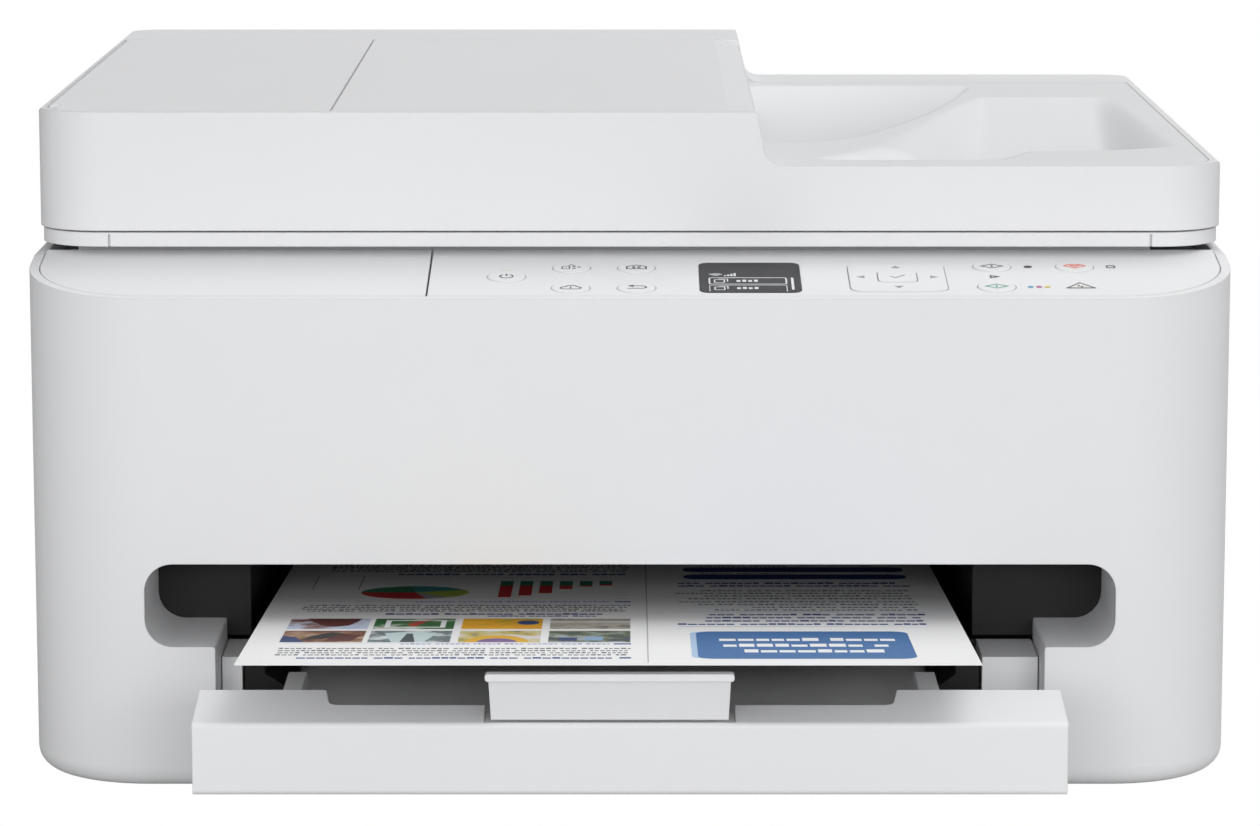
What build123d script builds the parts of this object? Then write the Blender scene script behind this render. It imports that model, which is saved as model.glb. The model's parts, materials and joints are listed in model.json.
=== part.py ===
from build123d import *
import os
from math import cos, radians, sin, tan

# All-in-one inkjet printer: body, paper cassette, flatbed scanner and document feeder.
# Millimetres. X runs to the printer's right, Y to its back, Z up from the surface it stands on.
# The origin is under the middle of the whole object's box, page and cassette included.

os.makedirs("parts", exist_ok=True)

# Overall size
width = 376.0
depth = 359.0
height = 210.0
page_reach = 100.0          # how far the printed page stands out of the front face
front = -(depth - page_reach) / 2
half = width / 2

# Casing
casing_bottom = 4.0
casing_floor = 7.0
wall = 3.0
front_corner = 38.0
back_corner = 14.0
bottom_round = 6.5
flange = 12.0               # inward lip under the floor pan
pan_thick = 2.5
deck_front = 157.8          # height of the top deck at its front edge
deck_tilt = 8.0             # the deck rises towards the back
deck_start = 1.0
deck_reach = 56.0           # where the deck plates end, behind the front face
casing_top = 164.7
seam = 0.3
panel_split = -62.5         # seam between the left top panel and the control panel
rear_half = 168.0           # half width of the removable rear panel
rear_bottom, rear_top = 10.0, 162.0
rear_door_half, rear_door_low, rear_door_high = 110.0, 31.5, 120.0
inlet_x, inlet_z = (-160.0, -132.0), (26.0, 48.0)
port_x, port_z = (140.0, 153.0), (30.0, 42.0)

# Output slot and cassette bay
slot_half, slot_low, slot_high, slot_corner = 150.1, 48.8, 74.9, 8.7
bay_half, bay_low, notch_corner = 128.4, 22.0, 0.8
bezel_depth = 45.0
tunnel_left, tunnel_right = -120.7, 109.0
tunnel_end, tunnel_top = 180.0, 76.5

# Cassette
fascia_half, fascia_low, fascia_high = 127.7, 24.0, 45.4
fascia_front, fascia_deep, fascia_strip = -90.0, 28.3, 15.4
fascia_skin = 2.5
cut_left, cut_right, cut_flare = -90.0, 79.0, 1.6
tray_half, tray_front, tray_end, tray_top = 128.0, 19.3, 290.0, 41.5
tray_left, tray_right = -121.7, 110.5
floor_low, floor_high = 26.3, 28.3
cover_start, cover_end, cover_deep = 46.8, 245.0, 2.3      # the cassette's lid over its rear part
rails = ((-107.0, -101.2), (89.0, 95.4))                    # raised strips along the cassette floor
stop_left, stop_right, stop_axis_y, stop_axis_z, stop_top = -42.1, 30.3, -87.3, 46.9, 61.3
stop_lean, stop_lip = 5.2, 2.3   # the stopper leans out over the fascia to a rounded lip

# Page
page_width, page_length, page_thick = 215.9, 279.4, 0.25
page_centre, page_lip, page_slope = -6.3, 65.25, 4.5

# Paper path
paper_plane = 62.0
plate_x, plate_thick = 141.0, 1.5
guide_y, guide_z, guide_r = 232.0, 100.0, 4.0
running = 0.05
plate_front, plate_back, plate_top = 175.0, 300.0, 124.0    # side plates of the chassis
rail_y, rail_low = 266.0, 78.0                              # upright cross rail
feed_y, feed_z, feed_shaft, feed_r, feed_gear = 246.0, 56.9, 3.0, 5.0, 12.0
exit_y, exit_z, exit_shaft, exit_r, exit_gear = 188.0, 57.9, 2.5, 4.0, 9.0
pickup_y, pickup_z, pickup_shaft, pickup_r = 268.0, 52.0, 2.5, 10.0
wheel_pitch = 38.0                                          # exit wheels and star wheels
platen_front, platen_back, platen_low, platen_high = 195.0, 239.0, 54.0, 60.0
gear_start, gear_end = plate_x + 8, plate_x + 4             # gears on the left shaft ends
carriage_home = 106.0
carriage_half, carriage_front, carriage_back = 29.0, 197.0, 250.0
carriage_low, carriage_top, carriage_step = 67.0, 116.0, 91.0
cartridge_front, cartridge_mid, cartridge_back = 199.4, 223.6, 237.6
cartridge_gap = 0.4
purge_left, purge_right, purge_low, purge_top = 102.0, 138.0, 46.0, 58.0
belt_y, belt_z, belt_high, belt_length, belt_width, belt_thick = 258.0, 106.0, 6.0, 270.0, 10.0, 1.0
motor_x, motor_y, motor_z, motor_r = -152.0, 215.0, 92.0, 16.0

# Scanner unit
strip_low, strip_high = 167.3, 171.8
strip_front, strip_back, strip_half, top_corner = 49.6, 354.0, 187.2, 20.0
tub_left, tub_right, tub_front, tub_back, tub_low, tub_wall = -176.0, 166.0, 66.0, 335.0, 142.0, 2.5
glass_thick, glass_front, glass_back = 2.5, 78.0, 298.0
glass_left, glass_right = -142.0, 156.0
strip_glass_left, strip_glass_right = -170.0, -152.0
lift_y, lift_z, lift_r, lift_x = 352.0, 168.0, 3.4, 122.0
cover_y, cover_z, cover_r, cover_x = 355.0, 174.4, 3.2, 84.0

# Document feeder
lid_low, lid_front, lid_back = 172.4, 49.0, 357.0
step_top, step_foot, step_foot_z, rim_high = 40.0, 43.0, 193.0, 193.0
lid_skin = 3.0
cover_split, back_border, front_border = -94.4, 314.0, 54.5
flap_end = 31.0             # the document tray slopes from here down to its hinge
tray_axis_x, tray_axis_z, tray_knuckle = 38.6, 207.2, 1.3
knuckle = lid_skin / 2
left_rim = 2.0
chute_low, chute_high = 182.0, 192.0
input_floor = 196.0
hinge_pocket = 205.6
dish_left, dish_right, dish_front, dish_back, dish_floor = 43.2, 184.2, 53.0, 326.6, 176.5
dish_corner = 16.0
pocket_near, pocket_far = 66.0, 313.0   # the step's wall is upright between these
pick_x, pick_z = -120.0, 195.0


def behind(distance):
    """Y of a place that lies this far behind the front face."""
    return front + distance


def loop(points, radii, mode=Mode.ADD):
    """A closed outline with rounded corners, filled; radii of 0 leave them all sharp."""
    with BuildLine() as outline:
        if radii:
            FilletPolyline(*points, radius=radii, close=True)
        else:
            Polyline(*points, close=True)
    make_face(outline.edges(), mode=mode)


def body_plan(inset):
    """The casing's outline from above, moved inwards."""
    side, near, far = half - inset, behind(inset), behind(depth - inset)
    fronts, backs = front_corner - inset, max(back_corner - inset, 1)
    loop([(-side, near), (side, near), (side, far), (-side, far)], [fronts, fronts, backs, backs])


def block(x, y, z, mode=Mode.ADD):
    """A plain block between two x, two y (behind the front face) and two z values."""
    with BuildSketch(Plane.XY.offset(z[0])) as base:
        with Locations(((x[0] + x[1]) / 2, behind((y[0] + y[1]) / 2))):
            Rectangle(x[1] - x[0], y[1] - y[0])
    extrude(base.sketch, amount=z[1] - z[0], mode=mode)


def cut_block(x, y, z):
    block(x, y, z, Mode.SUBTRACT)


def rod_x(x, y, z, radius, mode=Mode.ADD):
    """A round bar along X, at y behind the front face."""
    with BuildSketch(Plane.YZ.offset(x[0])) as base:
        with Locations((behind(y), z)):
            Circle(radius)
    extrude(base.sketch, amount=x[1] - x[0], mode=mode)


def rod_y(x, y, z, radius, mode=Mode.ADD):
    """A round bar along Y, from y[0] to y[1] behind the front face."""
    with BuildSketch(Plane.XZ.offset(-behind(y[0]))) as base:
        with Locations((x, z)):
            Circle(radius)
    extrude(base.sketch, amount=-(y[1] - y[0]), mode=mode)


def slot_outline():
    """The output slot with the cassette bay under it, as seen from the front."""
    points = [(-slot_half, slot_low), (-slot_half, slot_high), (slot_half, slot_high),
              (slot_half, slot_low), (bay_half, slot_low), (bay_half, bay_low),
              (-bay_half, bay_low), (-bay_half, slot_low)]
    loop(points, [slot_corner] * 4 + [notch_corner, 1.5, 1.5, notch_corner])


def deck_height(distance):
    return deck_front + (distance - deck_start) * tan(radians(deck_tilt))


def save(built, name):
    built.part.label = name
    export_step(built.part, f"parts/{name}.step")


# Deck plane: its x is the printer's X, its y climbs the deck from the front edge.
deck_normal = (0, -sin(radians(deck_tilt)), cos(radians(deck_tilt)))
deck = Plane(origin=(0, behind(deck_start), deck_front), x_dir=(1, 0, 0), z_dir=deck_normal)

# ---------------------------------------------------------------- casing

with BuildPart() as front_casing:
    with BuildSketch(Plane.XY.offset(casing_bottom)):
        body_plan(0)
    extrude(amount=casing_top - casing_bottom)
    fillet(front_casing.faces().sort_by(Axis.Z)[0].edges(), bottom_round)
    with BuildSketch(Plane.XY.offset(casing_floor)):
        body_plan(wall)
    extrude(amount=casing_top - casing_floor, mode=Mode.SUBTRACT)
    with BuildSketch(Plane.XY.offset(casing_bottom)):
        body_plan(flange)
    extrude(amount=casing_floor - casing_bottom, mode=Mode.SUBTRACT)
    with BuildSketch(Plane.YZ.offset(-half)):
        with BuildLine():
            Polyline((behind(-1), deck_height(-1)), (behind(60), deck_height(60)),
                     (behind(60), height), (behind(-1), height), close=True)
        make_face()
    extrude(amount=width, mode=Mode.SUBTRACT)
    with BuildSketch(Plane.XZ.offset(-behind(-1))):
        slot_outline()
    extrude(amount=-(wall + 1), mode=Mode.SUBTRACT)
    cut_block((-rear_half, rear_half), (depth - wall, depth + 1), (rear_bottom, height))
save(front_casing, "front_casing")

bezel_front = wall + 0.2

with BuildPart() as output_bezel:
    with BuildSketch(Plane.XZ.offset(-behind(bezel_front))):
        slot_outline()
        offset(amount=wall)
    extrude(amount=-(bezel_depth - bezel_front))
    with BuildSketch(Plane.XZ.offset(-behind(bezel_front))):
        slot_outline()
    extrude(amount=-(bezel_depth - bezel_front), mode=Mode.SUBTRACT)
save(output_bezel, "output_bezel")

with BuildPart() as exit_liner:
    block((-slot_half - 3, slot_half + 3), (bezel_depth, bezel_depth + 2), (43, slot_high + 5))
    block((tunnel_left - 2, tunnel_right + 2), (bezel_depth, tunnel_end), (43, tunnel_top + 2))
    cut_block((tunnel_left, tunnel_right), (bezel_depth - 1, tunnel_end + 1), (42, tunnel_top))
save(exit_liner, "exit_liner")

with BuildPart() as bottom_pan:
    with BuildSketch(Plane.XY.offset(casing_floor)):
        body_plan(wall)
    extrude(amount=pan_thick)
    cut_block((-rear_half, rear_half), (depth - wall - 0.5, depth), (casing_floor, 20))
    for runner in (-100, 100):
        block((runner - 10, runner + 10), (50, 300), (casing_floor, fascia_low - 0.3))
        block((runner - 1, runner + 1), (10, 50), (casing_floor, bay_low - wall - 1))
save(bottom_pan, "bottom_pan")

screw_places = [(-155, 20), (155, 20), (-155, 135), (155, 135)]
screw_head = 1.2

with BuildPart() as rear_panel:
    block((-rear_half, rear_half), (depth - wall, depth), (rear_bottom, rear_top))
    cut_block((-rear_door_half - 0.4, rear_door_half + 0.4), (depth - wall - 1, depth + 1),
              (rear_door_low - 1.9, rear_door_high + 0.4))
    cut_block(inlet_x, (depth - wall - 1, depth + 1), inlet_z)
    cut_block(port_x, (depth - wall - 1, depth + 1), port_z)
    for level in range(6):
        for side in (-1, 1):
            low = 128 + level * 5
            cut_block((side * 90 - 40, side * 90 + 40), (depth - wall - 1, depth + 1), (low, low + 2))
    for place in screw_places:
        rod_y(place[0], (depth - screw_head, depth + 1), place[1], 3, Mode.SUBTRACT)
        rod_y(place[0], (depth - 10, depth + 1), place[1], 1.5, Mode.SUBTRACT)
save(rear_panel, "rear_panel")

with BuildPart() as rear_cover:
    block((-rear_door_half, rear_door_half), (depth - wall, depth), (rear_door_low, rear_door_high))
    rod_x((-rear_door_half, rear_door_half), depth - wall / 2, rear_door_low, wall / 2)
    cut_block((-16, 16), (depth - 1.4, depth + 1), (108, 121))
save(rear_cover, "rear_cover")

with BuildPart() as rear_sockets:
    for x, z, long, rim in ((inlet_x, inlet_z, 24, 3), (port_x, port_z, 20, 1.5)):
        block(x, (depth - long, depth - 0.6), z)
        cut_block((x[0] + rim, x[1] - rim), (depth - long + 9, depth), (z[0] + rim, z[1] - rim))
save(rear_sockets, "rear_sockets")

with BuildPart() as rubber_feet:
    with BuildSketch():
        with Locations((-150, behind(45)), (150, behind(45)), (-150, behind(315)), (150, behind(315))):
            Circle(8)
    extrude(amount=casing_floor)
    chamfer(rubber_feet.edges().filter_by(GeomType.CIRCLE).group_by(Axis.Z)[0], 0.8)
save(rubber_feet, "rubber_feet")

with BuildPart() as upper_frame:
    with BuildSketch(Plane.XY.offset(154)):
        body_plan(wall)
    extrude(amount=6)
    cut_block((-half, half), (-1, deck_reach + 0.5), (150, 170))
    cut_block((tub_left - 2, tub_right + 2), (tub_front - 2, tub_back + 3), (150, 170))
save(upper_frame, "upper_frame")

# ---------------------------------------------------------------- deck plates and controls

panel_thick = 3.0
button_r, button_gap, button_proud = 5.9, 0.2, 0.3
display_centre, display_size = (37.2, 22.7), (31.5, 34.2)
pad_centre, pad_size, pad_corner = (83.0, 22.6), (30.0, 31.8), 4.0
ok_size = 12.0
lamp_centre, lamp_size = (-38.4, 31.8), (3.4, 1.2)
alarm_centre, alarm_r = (139.1, 13.6), 4.6
button_places = {
    "power_button": (-38.4, 23.6),
    "code_button": (-18.3, 33.9),
    "wireless_button": (-18.3, 11.1),
    "home_button": (2.0, 33.9),
    "back_button": (2.0, 11.1),
    "start_black_button": (113.2, 35.1),
    "start_colour_button": (113.1, 12.2),
    "stop_button": (139.1, 35.1),
}


def deck_plate(left, right):
    """A plate of the sloping deck, trimmed to the inside of the casing."""
    with BuildSketch(Plane.YZ.offset(left)) as section:
        with BuildLine():
            Polyline((behind(0), deck_height(0)), (behind(deck_reach), deck_height(deck_reach)),
                     (behind(deck_reach), deck_height(deck_reach) - panel_thick),
                     (behind(0), deck_height(0) - panel_thick), close=True)
        make_face()
    extrude(section.sketch, amount=right - left)
    with BuildSketch(Plane.XY.offset(140)) as plan:
        body_plan(wall + seam)
    extrude(plan.sketch, amount=40, mode=Mode.INTERSECT)


with BuildPart() as left_top_panel:
    deck_plate(-half, panel_split - seam)
save(left_top_panel, "left_top_panel")

with BuildPart() as control_panel:
    deck_plate(panel_split + seam, half)
    with BuildSketch(deck.offset(-10)):
        with Locations(*button_places.values()):
            Circle(button_r + button_gap)
        with Locations(pad_centre):
            RectangleRounded(pad_size[0] + 0.4, pad_size[1] + 0.4, pad_corner + 0.2)
        with Locations(lamp_centre):
            Rectangle(*lamp_size)
        with Locations(alarm_centre):
            RegularPolygon(alarm_r, 3, rotation=90)
    extrude(amount=20, mode=Mode.SUBTRACT)
    with BuildSketch(deck.offset(-1.6)):
        with Locations(display_centre):
            RectangleRounded(*display_size, 3)
    extrude(amount=10, mode=Mode.SUBTRACT)
save(control_panel, "control_panel")

with BuildPart() as display_window:
    with BuildSketch(deck.offset(-1.6)):
        with Locations(display_centre):
            RectangleRounded(*display_size, 3)
    extrude(amount=1.7)
save(display_window, "display_window")

with BuildPart() as indicator_lamps:
    with BuildSketch(deck.offset(-panel_thick)):
        with Locations(lamp_centre):
            Rectangle(*lamp_size)
        with Locations(alarm_centre):
            RegularPolygon(alarm_r, 3, rotation=90)
    extrude(amount=panel_thick + 0.1)
save(indicator_lamps, "indicator_lamps")

for name, place in button_places.items():
    with BuildPart() as button:
        with BuildSketch(deck.offset(-panel_thick - 1.8)):
            with Locations(place):
                Circle(button_r)
        extrude(amount=panel_thick + 1.8 + button_proud)
        chamfer(button.edges().filter_by(GeomType.CIRCLE).sort_by(Axis.Z)[-1], 0.25)
        with BuildSketch(deck.offset(-panel_thick - 1.8)):
            with Locations(place):
                Circle(button_r + 1.2)
        extrude(amount=1.2)
    save(button, name)

with BuildPart() as nav_pad:
    with BuildSketch(deck.offset(-panel_thick - 1.2)):
        with Locations(pad_centre):
            RectangleRounded(*pad_size, pad_corner)
            RectangleRounded(ok_size + 0.5, ok_size + 0.5, 2.2, mode=Mode.SUBTRACT)
    extrude(amount=panel_thick + 1.2 + button_proud)
save(nav_pad, "nav_pad")

with BuildPart() as ok_button:
    with BuildSketch(deck.offset(-panel_thick - 1.2)):
        with Locations(pad_centre):
            RectangleRounded(ok_size, ok_size, 2)
    extrude(amount=panel_thick + 1.2 + button_proud + 0.2)
save(ok_button, "ok_button")

# ---------------------------------------------------------------- print engine

with BuildPart() as main_chassis:
    for side in (-1, 1):
        edges = sorted((side * plate_x, side * (plate_x + plate_thick)))
        block(edges, (plate_front, plate_back), (casing_floor + pan_thick, plate_top))
    block((-plate_x, plate_x), (rail_y, rail_y + plate_thick), (rail_low, plate_top))
    block((-plate_x, plate_x), (rail_y - 10, rail_y), (plate_top - plate_thick, plate_top))
    rod_x((-plate_x - 5, plate_x + 5), guide_y, guide_z, guide_r, Mode.SUBTRACT)
    rod_x((-plate_x - 5, plate_x + 5), feed_y, feed_z, feed_shaft + running, Mode.SUBTRACT)
    rod_x((-plate_x - 5, plate_x + 5), exit_y, exit_z, exit_shaft + running, Mode.SUBTRACT)
    rod_x((-plate_x - 5, plate_x + 5), pickup_y, pickup_z, pickup_shaft + running, Mode.SUBTRACT)
save(main_chassis, "main_chassis")

with BuildPart() as carriage_rod:
    rod_x((-plate_x - 3, plate_x + 3), guide_y, guide_z, guide_r)
save(carriage_rod, "carriage_rod")

with BuildPart() as platen:
    block((-112, 98), (platen_front, platen_back), (platen_low, platen_high))
    for rib in range(13):
        left = -106 + rib * 16
        block((left, left + 1.5), (platen_front + 2, platen_back - 2), (platen_high, paper_plane - 0.3))
    for side in (-1, 1):
        block(sorted((side * 97, side * plate_x)), (199, 207), (platen_high - 2, platen_high))
save(platen, "platen")

with BuildPart() as feed_roller:
    rod_x((-115, 115), feed_y, feed_z, feed_r)
    rod_x((-gear_start, gear_end), feed_y, feed_z, feed_shaft)
    rod_x((-gear_start, -gear_end), feed_y, feed_z, feed_gear)
save(feed_roller, "feed_roller")

with BuildPart() as exit_roller:
    rod_x((-gear_start, gear_end), exit_y, exit_z, exit_shaft)
    for roller in range(6):
        left = -101 + roller * wheel_pitch
        rod_x((left, left + 12), exit_y, exit_z, exit_r)
    rod_x((-gear_start, -gear_end), exit_y, exit_z, exit_gear)
save(exit_roller, "exit_roller")

with BuildPart() as pickup_roller:
    rod_x((-plate_x - 6, gear_end), pickup_y, pickup_z, pickup_shaft)
    for left in (-38, 14):
        rod_x((left, left + 14), pickup_y, pickup_z, pickup_r)
save(pickup_roller, "pickup_roller")

with BuildPart() as star_wheel_bar:
    block((-plate_x, plate_x), (exit_y - 4, exit_y + 4), (67, 70))
    for wheel in range(6):
        left = -96 + wheel * wheel_pitch
        rod_x((left, left + 1.2), exit_y, 65.6, 3)
save(star_wheel_bar, "star_wheel_bar")

with BuildPart() as print_carriage:
    block((carriage_home - carriage_half, carriage_home + carriage_half), (carriage_front, carriage_back),
          (carriage_low, carriage_top))
    for left, right in ((-26, -7), (-4, 26)):
        bay = (carriage_home + left, carriage_home + right)
        cut_block(bay, (cartridge_front - cartridge_gap, cartridge_back + cartridge_gap),
                  (carriage_low - 1, carriage_step + 1))
        cut_block(bay, (cartridge_front - cartridge_gap, cartridge_mid + cartridge_gap),
                  (carriage_step, carriage_top + 1))
    rod_x((carriage_home - carriage_half - 1, carriage_home + carriage_half + 1), guide_y, guide_z,
          guide_r + running, Mode.SUBTRACT)
save(print_carriage, "print_carriage")

for name, left, right in (("black_cartridge", -26, -7), ("colour_cartridge", -4, 26)):
    with BuildPart() as cartridge:
        left, right = carriage_home + left + cartridge_gap, carriage_home + right - cartridge_gap
        block((left, right), (cartridge_front, cartridge_mid), (carriage_low + 0.5, carriage_top - 3))
        block((left, right), (cartridge_mid, cartridge_back), (carriage_low + 0.5, carriage_step))
        block((left + 4, right - 4), (206, 232), (paper_plane + 2, carriage_low + 0.5))
    save(cartridge, name)

with BuildPart() as purge_unit:
    sides = (purge_left, purge_right)
    block(sides, (198, 208), (purge_low, purge_top))
    block(sides, (226, 239), (purge_low, purge_top))
    block(sides, (208, 226), (purge_low, purge_top - 4.5))
    for left in (purge_left + 4, purge_left + 19):
        block((left, left + 12), (212, 222), (purge_top - 4.5, purge_top + 2))
save(purge_unit, "purge_unit")

with BuildPart() as timing_belt:
    with BuildSketch(Plane.XY.offset(belt_z)):
        with Locations((0, behind(belt_y))):
            SlotOverall(belt_length, belt_width)
            SlotOverall(belt_length - 2 * belt_thick, belt_width - 2 * belt_thick, mode=Mode.SUBTRACT)
    extrude(amount=belt_high)
save(timing_belt, "timing_belt")

with BuildPart() as drive_motors:
    pulley_x = -(belt_length - belt_width) / 2
    for low, tall, radius in ((80, 24, 7), (104, 8, belt_width / 2 - belt_thick)):
        with BuildSketch(Plane.XY.offset(low)):
            with Locations((pulley_x, behind(belt_y))):
                Circle(radius)
        extrude(amount=tall)
    rod_x((motor_x - 30, motor_x), motor_y, motor_z, motor_r)
    rod_x((motor_x, -plate_x - plate_thick - 1), motor_y, motor_z, 5)
save(drive_motors, "drive_motors")

with BuildPart() as power_supply:
    block((-182, -146), (272, 334), (12, 96))
save(power_supply, "power_supply")

with BuildPart() as main_board:
    block((172, 173.6), (110, 300), (20, 120))
    for step in range(3):
        block((165, 172), (130 + step * 55, 156 + step * 55), (50, 76))
save(main_board, "main_board")

with BuildPart() as scanner_hinge_brackets:
    for side in (-1, 1):
        centre = side * lift_x
        block((centre - 8, centre + 8), (lift_y - lift_r, lift_y + lift_r), (160, lift_z))
        rod_x((centre - 8, centre + 8), lift_y, lift_z, lift_r)
        rod_x((centre - 9, centre + 9), lift_y, lift_z, 1.5 + running, Mode.SUBTRACT)
save(scanner_hinge_brackets, "scanner_hinge_brackets")

with BuildPart() as case_screws:
    for place in screw_places:
        rod_y(place[0], (depth - screw_head, depth), place[1], 3)
        rod_y(place[0], (depth - 10, depth - screw_head), place[1], 1.5)
        block((place[0] - 1.8, place[0] + 1.8), (depth - 0.7, depth + 1),
              (place[1] - 0.4, place[1] + 0.4), Mode.SUBTRACT)
        block((place[0] - 0.4, place[0] + 0.4), (depth - 0.7, depth + 1),
              (place[1] - 1.8, place[1] + 1.8), Mode.SUBTRACT)
save(case_screws, "case_screws")

# ---------------------------------------------------------------- cassette

with BuildPart() as cassette_tray:
    block((-tray_half, tray_half), (tray_front, tray_end), (fascia_low, tray_top))
    cut_block((tray_left, tray_right), (tray_front - 1, tray_end - 3), (fascia_low + 2, tray_top + 1))
    cut_block((-tray_half, tray_half), (cover_start - 0.2, tray_end), (tray_top - cover_deep, tray_top + 1))
save(cassette_tray, "cassette_tray")

with BuildPart() as cassette_cover:
    block((-tray_half + 0.5, tray_half - 0.5), (cover_start, cover_end),
          (tray_top - cover_deep, tray_top - 0.2))
    cut_block((-30, 20), (120, 122), (tray_top - cover_deep, tray_top))
save(cassette_cover, "cassette_cover")


def fascia_top(distance):
    return fascia_high + (distance - fascia_front) * tan(radians(deck_tilt))


with BuildPart() as cassette_extension:
    back = fascia_front + fascia_deep
    with BuildSketch(Plane.YZ.offset(-fascia_half)):
        with BuildLine():
            FilletPolyline((behind(fascia_front), fascia_low), (behind(fascia_front), fascia_high),
                           (behind(back), fascia_top(back)), (behind(back), fascia_low),
                           radius=[1.6, 1.6, 0.6, 0.6], close=True)
        make_face()
    extrude(amount=2 * fascia_half)
    with BuildSketch(Plane.YZ.offset(-fascia_half + fascia_skin)):
        with BuildLine():
            Polyline((behind(fascia_front + fascia_skin), floor_high),
                     (behind(fascia_front + fascia_skin), fascia_high - fascia_skin),
                     (behind(back + 1), fascia_top(back) - fascia_skin),
                     (behind(back + 1), floor_high), close=True)
        make_face()
    extrude(amount=2 * (fascia_half - fascia_skin), mode=Mode.SUBTRACT)
    with BuildSketch(Plane.XY.offset(floor_high)):
        near, far = behind(fascia_front + fascia_strip), behind(back + 10)
        loop([(cut_left + cut_flare, near), (cut_right - cut_flare, near), (cut_right + cut_flare, far),
              (cut_left - cut_flare, far)], [3, 3, 1, 1])
    extrude(amount=30, mode=Mode.SUBTRACT)
    block((tray_left + 0.4, tray_right - 0.4), (fascia_front + 5, 150), (floor_low, floor_high))
    for rail in rails:
        block(rail, (back, 18), (floor_high, 37))
    cut_block((stop_left - 0.5, stop_right + 0.5), (-88.8, -74), (45.3, 60))
save(cassette_extension, "cassette_extension")

with BuildPart() as output_stopper:
    with BuildSketch(Plane.YZ.offset(stop_left)):
        near, far = behind(stop_axis_y - 1), behind(stop_axis_y + 1)
        loop([(near, stop_axis_z), (far, stop_axis_z), (far - stop_lean, stop_top),
              (near - stop_lean, stop_top)], 0.3)
    extrude(amount=stop_right - stop_left)
    with BuildSketch(Plane.XZ.offset(-behind(stop_axis_y + 5))):
        loop([(stop_left + 1.6, stop_axis_z - 2), (stop_right - 1.6, stop_axis_z - 2),
              (stop_right - 0.8, stop_top + 1), (stop_left + 0.8, stop_top + 1)], 0.2)
    extrude(amount=20, mode=Mode.INTERSECT)
    rod_x((stop_left + 1.5, stop_right - 1.5), stop_axis_y, stop_axis_z, 1)
    with BuildSketch(Plane.XZ.offset(-behind(stop_axis_y - stop_lean + 1))):
        with Locations(((stop_left + stop_right) / 2, stop_top - stop_lip / 2)):
            RectangleRounded(stop_right - stop_left, stop_lip, 0.9)
    extrude(amount=3.6)
save(output_stopper, "output_stopper")

guides = (("paper_guide_left", -121, -114.6, -106), ("paper_guide_right", 109.6, 102.4, 95))
for name, outer, inner, toe in guides:
    with BuildPart() as guide:
        with BuildSketch(Plane.XZ.offset(-behind(20))):
            with BuildLine():
                Polyline((outer, floor_high + 0.3), (outer, 38.6), (inner, 38.6), (inner, 36),
                         (toe, 30.6), (toe, floor_high + 0.3), close=True)
            make_face()
        extrude(amount=-110)
    save(guide, name)

with BuildPart() as printed_page:
    slope = radians(page_slope)
    page_plane = Plane(origin=(page_centre, behind(-page_reach), page_lip), x_dir=(1, 0, 0),
                       z_dir=(0, sin(slope), cos(slope)))
    with BuildSketch(page_plane):
        with Locations((0, page_length / 2)):
            Rectangle(page_width, page_length)
    extrude(amount=-page_thick)
save(printed_page, "printed_page")

# ---------------------------------------------------------------- scanner unit


def top_plan(side, near, far, corner):
    loop([(-side, behind(near)), (side, behind(near)), (side, behind(far)), (-side, behind(far))],
         [corner] * 2 + [min(corner, 12)] * 2)


with BuildPart() as scanner_base:
    with BuildSketch(Plane.XY.offset(strip_low)):
        top_plan(strip_half, strip_front, strip_back, top_corner)
    extrude(amount=strip_high - strip_low)
    block((tub_left, tub_right), (tub_front, tub_back), (tub_low, strip_low))
    cut_block((tub_left + tub_wall, tub_right - tub_wall), (tub_front + tub_wall, tub_back - tub_wall),
              (tub_low + tub_wall, strip_high - glass_thick - 1.2))
    cut_block((glass_left, glass_right), (glass_front, glass_back), (strip_high - glass_thick, height))
    cut_block((glass_left + 4, glass_right - 4), (glass_front + 4, glass_back - 4), (160, height))
    cut_block((strip_glass_left, strip_glass_right), (glass_front, glass_back),
              (strip_high - glass_thick, height))
    cut_block((strip_glass_left + 3, strip_glass_right - 3), (glass_front + 4, glass_back - 4),
              (160, height))
    for side in (-1, 1):
        slit = side * 164.4
        cut_block((slit - 0.3, slit + 0.3), (strip_front - 1, strip_front + 1.2), (160, strip_high - 0.6))
        centre = side * lift_x
        cut_block((centre - 8.4, centre + 8.4), (lift_y - 4.6, strip_back + 6), (160, height))
        for edge in (-13.4, 8.4):
            rod_x((centre + edge, centre + edge + 5), lift_y, lift_z, lift_r)
        rod_x((centre - 13.4, centre + 13.4), lift_y, lift_z, 1.5, Mode.SUBTRACT)
        knob = side * cover_x
        block((knob - 5, knob + 5), (cover_y - cover_r, cover_y + 1), (strip_high - 2, cover_z))
        rod_x((knob - 5, knob + 5), cover_y, cover_z, cover_r)
        rod_x((knob - 6, knob + 6), cover_y, cover_z, 1.2 + running, Mode.SUBTRACT)
save(scanner_base, "scanner_base")

with BuildPart() as scanner_glass:
    block((glass_left, glass_right), (glass_front, glass_back), (strip_high - glass_thick, strip_high))
    block((strip_glass_left, strip_glass_right), (glass_front, glass_back),
              (strip_high - glass_thick, strip_high))
save(scanner_glass, "scanner_glass")

with BuildPart() as scan_carriage:
    block((-172.5, -154.5), (72, 328), (146, 160))
    block((-170, -157), (80, 296), (160, 165.5))
save(scan_carriage, "scan_carriage")

with BuildPart() as scanner_hinge_pins:
    for side in (-1, 1):
        rod_x((side * lift_x - 13.4, side * lift_x + 13.4), lift_y, lift_z, 1.5)
save(scanner_hinge_pins, "scanner_hinge_pins")

# ---------------------------------------------------------------- document feeder

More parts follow.
